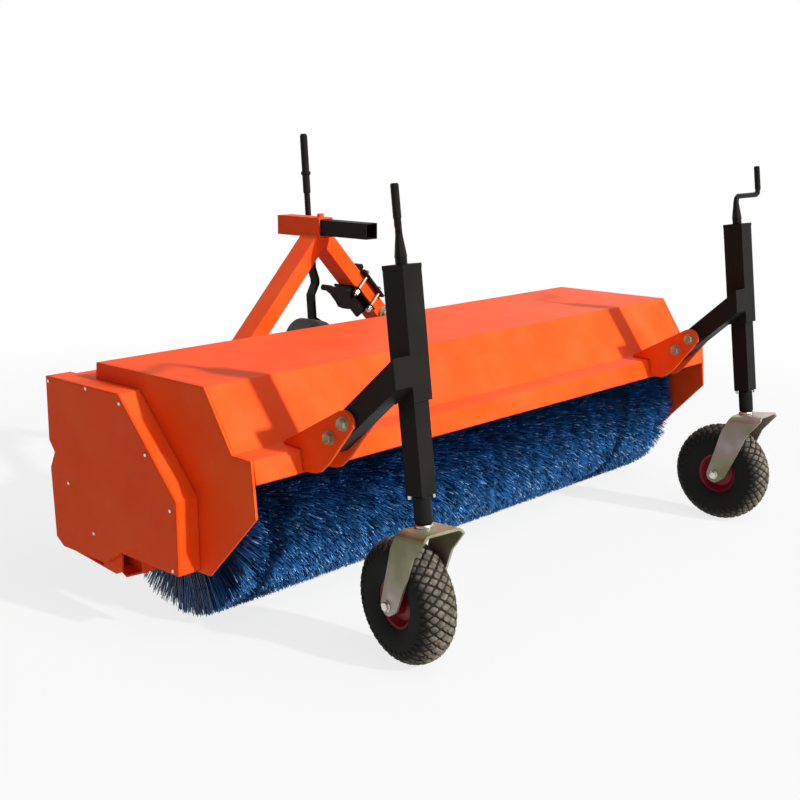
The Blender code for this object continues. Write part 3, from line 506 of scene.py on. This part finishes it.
def tyre_carcass():
    """The smooth body of the tyre, spun from its section, on the X axis at the origin. Its foot laps over
    the rim's flange."""
    # Half of the section, as radius and X
    profile = [(0.0566, -0.0280), (0.0566, -0.0316), (0.0512, -0.0296), (0.0506, -0.0312), (0.0570, -0.0352),
               (0.0680, -0.0380), (0.0800, -0.0396), (0.0920, -0.0396), (0.1010, -0.0384), (0.1080, -0.0352),
               (0.1140, -0.0296), (0.1180, -0.0215), (0.1206, -0.0110), (0.1213, 0.0)]
    profile += [(radius, -x) for radius, x in profile[-2::-1]]
    count = len(profile)
    mesh = bpy.data.meshes.new("tyre_profile")
    mesh.from_pydata([(x, radius, 0) for radius, x in profile],
                     [(i, (i + 1) % count) for i in range(count)], [])
    obj = linked("tyre_profile", mesh)
    pick(obj)
    bpy.ops.object.mode_set(mode="EDIT")
    bpy.ops.mesh.select_all(action="SELECT")
    bpy.ops.mesh.spin(steps=96, angle=math.tau, center=(0, 0, 0), axis=(1, 0, 0))
    bpy.ops.mesh.select_all(action="SELECT")
    bpy.ops.mesh.remove_doubles(threshold=0.00005)
    bpy.ops.mesh.normals_make_consistent(inside=False)
    bpy.ops.object.mode_set(mode="OBJECT")
    return obj


def tread_block():
    """One diamond block of the tread, with drafted sides and a rounded crown."""
    bpy.ops.mesh.primitive_cube_add(size=1, location=(0, 0, 0), rotation=(0, 0, math.radians(45)))
    obj = active()
    bpy.ops.object.transform_apply(location=False, rotation=True, scale=False)
    bpy.ops.object.mode_set(mode="EDIT")
    bpy.ops.mesh.select_all(action="SELECT")
    bpy.ops.mesh.select_mode(type="EDGE")
    bm = bmesh.from_edit_mesh(obj.data)
    for edge in bm.edges:
        edge.select_set(abs(edge.verts[0].co.z - edge.verts[1].co.z) > 0.5)
    bmesh.update_edit_mesh(obj.data)
    bpy.ops.mesh.bevel(offset=0.16, segments=1, affect="EDGES")
    bpy.ops.mesh.select_mode(type="FACE")
    select_faces(obj, lambda face: face.normal.z > 0.9)
    bpy.ops.transform.resize(value=(0.86, 0.86, 1))
    bpy.ops.mesh.inset(thickness=0.10)
    bpy.ops.transform.translate(value=(0, 0, 0.16))
    bpy.ops.object.mode_set(mode="OBJECT")
    return obj


def tread_matrices():
    """Places for staggered rows of blocks that follow the round of the carcass."""
    matrices = []
    for row, swing in enumerate(TREAD_ROWS):
        angle = math.radians(swing)
        x, radius = CROWN_HALF_WIDTH * math.sin(angle), CROWN_CENTRE + CROWN_RISE * math.cos(angle)
        roll = math.atan2(CROWN_RISE * math.sin(angle), CROWN_HALF_WIDTH * math.cos(angle))
        # The outermost rows have smaller blocks
        size = 0.80 if abs(swing) > 70 else 0.95
        length = BLOCK_LONG * size * radius / TREAD_RADIUS
        for column in range(TREAD_COLUMNS):
            turn = math.tau * (column + 0.5 * (row % 2)) / TREAD_COLUMNS
            matrix = Matrix.Rotation(turn, 4, "X") @ Matrix.Translation((x, 0, radius))
            matrix = matrix @ Matrix.Rotation(roll, 4, "Y")
            matrices.append(matrix @ Matrix.Diagonal((BLOCK_WIDE * size, length, BLOCK_HIGH, 1)))
    return rows(matrices)


def dust_layer(obj, low, high):
    """Marks how dusty each point is, from the wall (low) to the furthest crown (high)."""
    values = []
    for vert in obj.data.vertices:
        reach = math.hypot(vert.co.y, vert.co.z)
        out = max(0.0, min(1.0, (reach - DUST_FROM) / DUST_OVER))
        values.append(low + (high - low) * out)
    add_attribute(obj, "dust", values)


def make_tyres(material):
    """A round carcass under rows of diamond blocks, in place of each plain tyre."""
    carcass = tyre_carcass()
    block = tread_block()
    blocks = copies(block, tread_matrices(), "tread_blocks")
    dust_layer(carcass, low=0.0, high=0.25)
    dust_layer(blocks, low=0.35, high=1.0)
    for side in SIDES:
        tyre = joined(linked("carcass", carcass.data.copy()), linked("tread", blocks.data.copy()))
        tyre.matrix_world = wheel_matrix(side)
        piece = settle(tyre, f"block_tread_tyre_{side}", material, f"wheel_{side}",
                       smooth_angle=40)
        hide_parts(f"tyre_{side}")
    for obj in (carcass, block, blocks):
        remove(obj)


# Fastenings

def hex_head(radius, height, washer=0.0, recessed=False):
    """A hexagon head on the XY plane, chamfered on top. A washer's radius puts a round washer under it."""
    lift = WASHER if washer else 0.0
    bpy.ops.mesh.primitive_cylinder_add(vertices=6, radius=radius, depth=height,
                                        location=(0, 0, lift + height / 2))
    head = active()
    bpy.ops.object.transform_apply(location=True, rotation=False, scale=False)
    bpy.ops.object.mode_set(mode="EDIT")
    select_faces(head, lambda face: face.normal.z > 0.9)
    bpy.ops.mesh.inset(thickness=radius * CHAMFER)
    bpy.ops.transform.translate(value=(0, 0, height * CHAMFER))
    if recessed:
        bpy.ops.mesh.inset(thickness=radius * RECESS_RIM)
        bpy.ops.transform.translate(value=(0, 0, -height * RECESS_DEPTH))
    bpy.ops.object.mode_set(mode="OBJECT")
    if not washer:
        return head
    bpy.ops.mesh.primitive_cylinder_add(vertices=32, radius=washer, depth=WASHER,
                                        location=(0, 0, WASHER / 2))
    disc = active()
    bpy.ops.object.transform_apply(location=True, rotation=False, scale=False)
    bpy.ops.object.mode_set(mode="EDIT")
    bpy.ops.mesh.select_all(action="SELECT")
    bpy.ops.mesh.bevel(offset=WASHER / 4, segments=1)
    bpy.ops.object.mode_set(mode="OBJECT")
    return joined(disc, head)


def weld_drop():
    """One frozen ripple of a weld bead, lying on the XY plane and 1 unit wide."""
    bpy.ops.mesh.primitive_uv_sphere_add(segments=8, ring_count=5, radius=0.5, location=(0, 0, 0))
    obj = active()
    bpy.ops.object.mode_set(mode="EDIT")
    bpy.ops.mesh.select_all(action="SELECT")
    bpy.ops.transform.resize(value=(0.62, 1.0, 0.70))
    bpy.ops.object.mode_set(mode="OBJECT")
    return obj


def facing(point, direction, turn=0.0):
    """A placement whose own Z looks along a direction, turned about it by an angle."""
    quaternion = Vector(direction).normalized().to_track_quat("Z", "Y")
    return Matrix.Translation(point) @ quaternion.to_matrix().to_4x4() @ Matrix.Rotation(turn, 4, "Z")


def along_line(start, end, out, width):
    """Placements of weld ripples between two points, each standing out of its corner."""
    start, end = Vector(start), Vector(end)
    run = (end - start).normalized()
    out = Vector(out).normalized()
    frame_3x3 = Matrix((run, out.cross(run), out)).transposed()
    count = int((end - start).length / (width * RIPPLE_STEP)) + 1
    return [Matrix.Translation(start.lerp(end, i / count)) @ frame_3x3.to_4x4() @ Matrix.Scale(width, 4)
            for i in range(count + 1)]


def fasten(template, places, name, material, body):
    """Sets copies of a template at their places as one piece on one body."""
    return settle(copies(template, rows(places), name), name, material, body, smooth_angle=30)


def make_case_screws(finish):
    """The screws of the chain case's cover and the bolts of the right brush bearing."""
    screw = hex_head(radius=0.0038, height=0.0022)
    fasten(screw, [facing(hood(COVER_X, y, z), (-1, 0, 0), turn=y * 40) for y, z in CASE_SCREWS],
           "case_cover_screws", finish["bright_zinc"], "chassis")
    remove(screw)
    bolt = hex_head(radius=0.0060, height=0.0045, washer=0.0072)
    places = []
    for angle in (math.radians(45 + 90 * quarter) for quarter in range(4)):
        spot = Vector((BEARING_X, BOLT_CIRCLE * math.cos(angle), BOLT_CIRCLE * math.sin(angle)))
        places.append(facing(BRUSH + spot, (1, 0, 0), turn=angle))
    fasten(bolt, places, "bearing_bolts", finish["bright_zinc"], "chassis")
    remove(bolt)


def make_arm_bolts(finish):
    """Bolt heads and washers on both ears of each bracket, over the plain heads."""
    bolt = hex_head(radius=0.0114, height=0.0078, washer=0.0138, recessed=True)
    for side, sign in SIDES.items():
        places = []
        for y, z in ARM_BOLTS:
            for out in (-1, 1):
                face = sign * POST_X + ARM_X + out * (ARM / 2 + EAR - HAIR)
                places.append(facing(hood(face, y, z), (out, 0, 0), turn=y * 30))
        fasten(bolt, places, f"arm_bolt_heads_{side}", finish["zinc"], "chassis")
    remove(bolt)


def make_arm_welds(finish):
    """Weld beads where each raked arm meets its sleeve and each bracket meets the hood's lip."""
    drop = weld_drop()
    first, second = Vector((0, *ARM_BOLTS[0])), Vector((0, *ARM_BOLTS[1]))
    along = (second - first).normalized()
    above = Vector((0, along.z, -along.y))
    across_post = Vector((0, math.cos(POST_LEAN), -math.sin(POST_LEAN)))
    sleeve_face = SLEEVE / 2 + HAIR
    to_face = Vector((0, POST_MIDDLE_Y, POST_Z)) - sleeve_face * across_post - first
    reach = to_face.dot(across_post) / along.dot(across_post)
    for side, sign in SIDES.items():
        sleeve_places, lip_places = [], []
        for out in (-1, 1):
            rise = above * out * ARM / 2
            shift = -rise.dot(across_post) / along.dot(across_post)
            ends = [first + rise + along * (reach + shift - back) for back in ARM_SEAM]
            ends = [hood(sign * POST_X - sleeve_face, end.y, end.z) for end in ends]
            sleeve_places += along_line(*ends, above * out + Vector((-1, 0, 0)), width=0.0060)
            edge = sign * POST_X + ARM_X + out * (ARM / 2 + EAR)
            lip_places += along_line(*(hood(edge, y, z) for y, z in LIP_SEAM), (out, -1, 0), width=0.0055)
        fasten(drop, sleeve_places, f"sleeve_weld_{side}", finish["black_paint"], "chassis")
        fasten(drop, lip_places, f"bracket_weld_{side}", finish["orange_paint"], "chassis")
    remove(drop)


def make_clamp_nuts(finish):
    """Hexagon nuts on washers for the two U-bolts and the bolt on the foot of the right leg."""
    nut = hex_head(radius=0.0082, height=0.0095, washer=0.0092)
    down = on_leg(0, -1) - on_leg(0, 0)
    places = []
    for distance in CLAMP_RODS:
        spot = on_leg(distance, -LEG_WIDTH / 2 - CLAMP_PLATE)
        for y in ROD_Y:
            places.append(facing(hood(spot.x, y, spot.z), down, turn=distance * 90))
    fasten(nut, places, "u_bolt_nuts", finish["bright_zinc"], "headstock")
    remove(nut)
    spot = on_leg(BOSS_ALONG, 0)
    boss = hex_head(radius=0.0136, height=0.0075, washer=0.0215, recessed=True)
    fasten(boss, [facing(hood(spot.x, BOSS_FACE_Y, spot.z), (0, -1, 0), turn=0.3)], "leg_boss_bolt",
           finish["zinc"], "headstock")
    remove(boss)


def axle_shank():
    """The plain part of an axle bolt, along X at the origin."""
    bpy.ops.mesh.primitive_cylinder_add(vertices=32, radius=0.0080, depth=0.111, location=(0.0015, 0, 0),
                                        rotation=(0, math.pi / 2, 0))
    shank = active()
    bpy.ops.object.mode_set(mode="EDIT")
    bpy.ops.mesh.select_all(action="SELECT")
    bpy.ops.mesh.bevel(offset=0.0012, segments=2)
    bpy.ops.object.mode_set(mode="OBJECT")
    bpy.ops.object.transform_apply(location=True, rotation=True, scale=False)
    return shank


def make_castor_details(finish):
    """Per castor: a bright collar where the stem enters the fork, screws that hold the bottom plug, and the
    axle bolt with its real hexagon head and nut."""
    bright = finish["bright_zinc"]
    screw = hex_head(radius=0.0034, height=0.0065)
    head = hex_head(radius=0.0098, height=0.0058, washer=0.0112)
    for side in SIDES:
        post, castor, wheel = post_matrix(side), castor_matrix(side), wheel_matrix(side)
        bpy.ops.mesh.primitive_torus_add(major_segments=48, minor_segments=12, major_radius=0.0150,
                                         minor_radius=0.0040, location=(0, 0, FORK_TOP + 0.0026))
        collar = active()
        bpy.ops.object.transform_apply(location=True, rotation=False, scale=False)
        collar.matrix_world = castor
        settle(collar, f"stem_collar_{side}", bright, f"castor_{side}", smooth_angle=30)
        spots = [post @ Matrix.Translation((x, -x, PLUG_FACE)) @ Matrix.Rotation(math.pi, 4, "X")
                 for x in (-PLUG_SCREW, PLUG_SCREW)]
        fasten(screw, spots, f"plug_screws_{side}", bright, f"jack_{side}")
        shank = axle_shank()
        shank.matrix_world = wheel
        bpy.ops.object.transform_apply(location=True, rotation=True, scale=False)
        faces = [wheel @ facing((out * FORK_FACE, 0, 0), (out, 0, 0), turn=0.2) for out in (-1, 1)]
        ends = copies(head, rows(faces), "ends")
        piece = settle(joined(shank, ends), f"hex_axle_bolt_{side}", bright, f"castor_{side}",
                       smooth_angle=30)
        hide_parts(f"wheel_axle_{side}")
    remove(screw)
    remove(head)


# Floor and light

def seen_directly(tree):
    """1 for rays that show the floor or the backdrop as it looks: camera, mirror and glass rays."""
    path = node(tree, "ShaderNodeLightPath")
    first = node(tree, "ShaderNodeMath", {"operation": "MAXIMUM"}, i0=path.outputs["Is Camera Ray"],
                 i1=path.outputs["Is Glossy Ray"])
    return node(tree, "ShaderNodeMath", {"operation": "MAXIMUM"}, i0=first.outputs[0],
                i1=path.outputs["Is Transmission Ray"]).outputs[0]


def make_floor():
    """A white floor that keeps a light shadow near the machine and blends into the backdrop further out."""
    bpy.ops.mesh.primitive_plane_add(size=60, location=(0, 0, -0.0005))
    floor = active()
    floor.name = "studio_floor"
    mat = bpy.data.materials.new("pale_studio_floor")
    mat.use_nodes = True
    tree = mat.node_tree
    tree.nodes.clear()
    coords = node(tree, "ShaderNodeTexCoord").outputs["Object"]
    reach = node(tree, "ShaderNodeVectorMath", {"operation": "LENGTH"}, i0=coords)
    blend = node(tree, "ShaderNodeMapRange",
                 {"From Min": 1.2, "From Max": 3.4, "To Min": 0.80, "To Max": 1.0,
                  "interpolation_type": "SMOOTHSTEP"}, Value=reach.outputs["Value"])
    share = node(tree, "ShaderNodeMath", {"operation": "MULTIPLY"}, i0=seen_directly(tree),
                 i1=blend.outputs[0])
    diffuse = node(tree, "ShaderNodeBsdfDiffuse", {"Color": linear("#D4D4D4")})
    glow = node(tree, "ShaderNodeEmission", {"Color": (1, 1, 1, 1), "Strength": 1.0})
    mix = node(tree, "ShaderNodeMixShader", {}, i0=share.outputs[0], i1=diffuse.outputs[0],
               i2=glow.outputs[0])
    node(tree, "ShaderNodeOutputMaterial", {}, Surface=mix.outputs[0])
    floor.data.materials.append(mat)
    floor.select_set(False)


def area_light(name, place, size, power, sheen_only=False):
    """A square soft light that looks at the machine; a sheen-only one shows in gloss alone."""
    data = bpy.data.lights.new(name, "AREA")
    data.shape = "SQUARE"
    data.size = size
    data.energy = power
    light = bpy.data.objects.new(name, data)
    bpy.context.scene.collection.objects.link(light)
    light.location = place
    light.visible_diffuse = not sheen_only
    light.rotation_euler = (Vector(place) - Vector(MACHINE)).to_track_quat("Z", "Y").to_euler()


def make_light():
    """One far front light that throws the posts' shadows on the hood, a soft high one, a soft one for the
    back, a dim even sky, and the bright part of the sky that the front slope mirrors."""
    world = bpy.data.worlds.new("studio_world")
    bpy.context.scene.world = world
    world.use_nodes = True
    tree = world.node_tree
    tree.nodes.clear()
    ambient = node(tree, "ShaderNodeBackground", {"Color": (0.95, 0.97, 1.0, 1), "Strength": 0.14})
    # The backdrop is white up to a little above the horizon, then a dimmer ceiling
    direction = node(tree, "ShaderNodeTexCoord").outputs["Generated"]
    height = node(tree, "ShaderNodeSeparateXYZ", {}, Vector=direction)
    ceiling = node(tree, "ShaderNodeMapRange", {"From Min": 0.12, "From Max": 0.35, "To Min": 1.0,
                                                "To Max": 0.25}, Value=height.outputs["Z"])
    backdrop = node(tree, "ShaderNodeBackground", {"Color": (1, 1, 1, 1)}, Strength=ceiling.outputs[0])
    mix = node(tree, "ShaderNodeMixShader", {}, i0=seen_directly(tree), i1=ambient.outputs[0],
               i2=backdrop.outputs[0])
    node(tree, "ShaderNodeOutputWorld", {}, Surface=mix.outputs[0])
    area_light("far_key", (6.2, -34.8, 19.8), size=1.3, power=20000)
    area_light("high_fill", (-0.3, -3.6, 5.2), size=3.5, power=138)
    area_light("rear_fill", (-0.2, 6.6, 3.2), size=4.0, power=120)
    area_light("sky_sheen", (4.2, 0.7, 4.6), size=5.0, power=220, sheen_only=True)


def dress_cad_nodes(finish):
    """Gives every node that is carried over the finish of its slot."""
    slots = {part["node"]: part["material_slot"] for part in frame["record"]["subparts"]}
    for name, obj in frame["nodes"].items():
        for slot in obj.material_slots:
            slot.material = finish[slots[name]]


place_camera()
make_light()
make_floor()
finishes = make_materials()
dress_cad_nodes(finishes)
make_bristles(finishes["blue_bristle"])
make_tyres(finishes["rubber"])
make_case_screws(finishes)
make_arm_bolts(finishes)
make_arm_welds(finishes)
make_clamp_nuts(finishes)
make_castor_details(finishes)

bpy.context.scene.view_settings.view_transform = "Standard"
